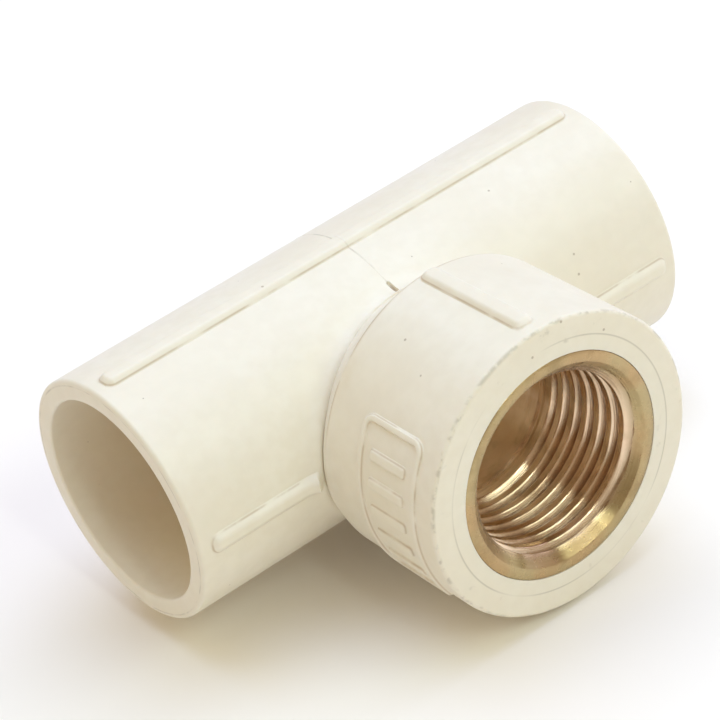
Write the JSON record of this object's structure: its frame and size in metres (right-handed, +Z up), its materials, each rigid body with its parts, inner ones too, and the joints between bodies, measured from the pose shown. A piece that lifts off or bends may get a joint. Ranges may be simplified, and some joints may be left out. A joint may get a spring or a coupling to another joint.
{
  "type": "pipe tee fitting",
  "caption": "Cream CPVC pipe tee: a straight run with a solvent-weld socket at each end and a collared branch holding a moulded-in, internally threaded brass insert.",
  "frame": {"origin": "the point where the run's axis crosses the branch's axis, halfway along the run", "axes": "+X along the run, -Y out of the threaded branch, +Z up"},
  "size_m": [0.0624, 0.0448, 0.0332],
  "materials": {
    "cpvc": "satin, as moulded",
    "brass": "machined",
    "rubber": "matte"
  },
  "bodies": {
    "root": {"tee_body": "cpvc", "brass_insert": "brass", "front_seal": "rubber", "rear_seal": "rubber"}
  },
  "joints": []
}
